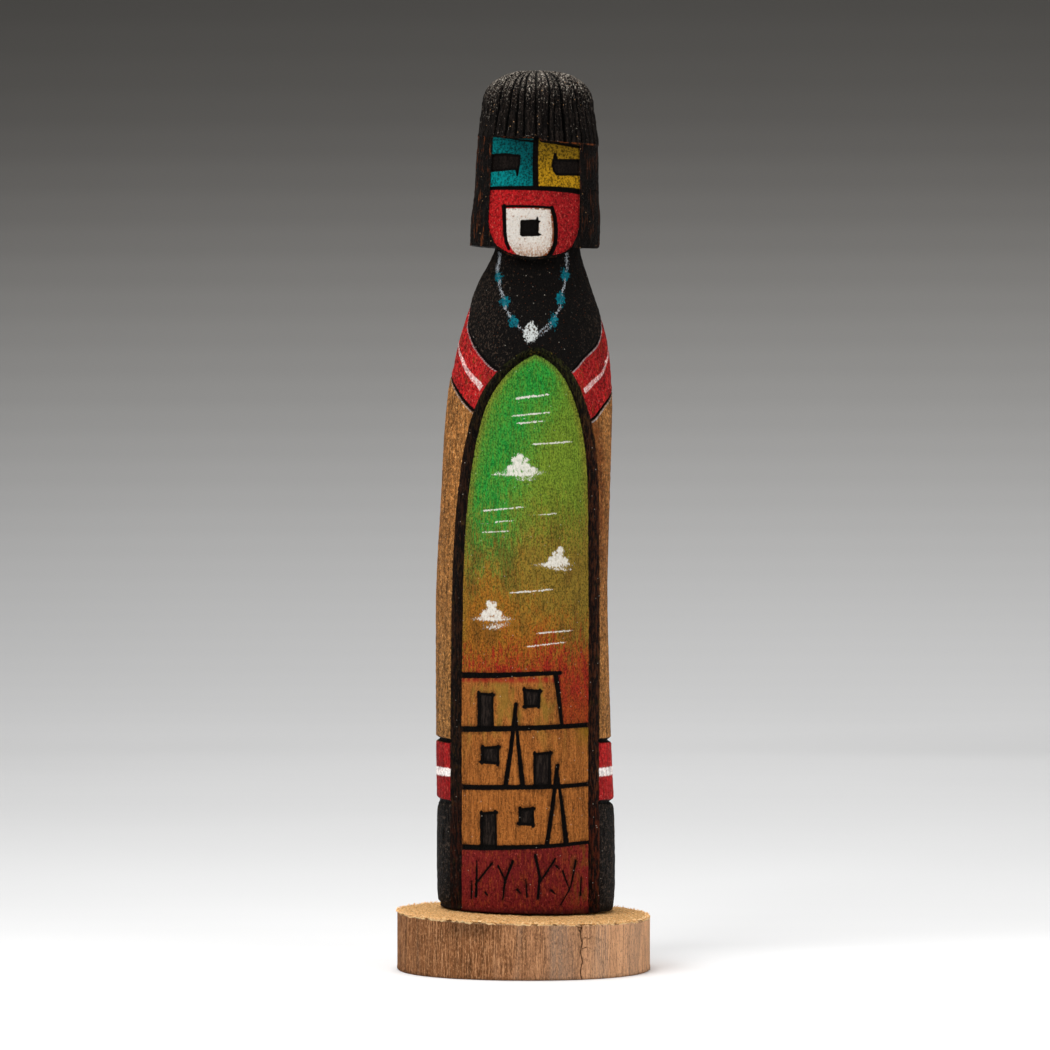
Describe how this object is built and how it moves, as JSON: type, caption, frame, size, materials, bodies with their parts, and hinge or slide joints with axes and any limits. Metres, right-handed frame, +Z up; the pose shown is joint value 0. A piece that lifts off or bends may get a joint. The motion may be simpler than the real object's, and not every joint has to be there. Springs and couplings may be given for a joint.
{
  "type": "kachina doll",
  "caption": "Carved and painted root doll with a flat mask face, black hair, shawl and an arched village panel, standing on a sawn slice of bare wood",
  "frame": {"origin": "middle of the slice's underside", "axes": "Z up along the doll, -Y the way the doll faces, +X the viewer's right"},
  "size_m": [0.0754, 0.0772, 0.2668],
  "materials": {
    "painted_wood": "matt paint and burned lines over carved root",
    "bare_wood": "raw saw cut"
  },
  "bodies": {
    "root": {"carved_figure": "painted_wood", "base_slice": "bare_wood"}
  },
  "joints": []
}
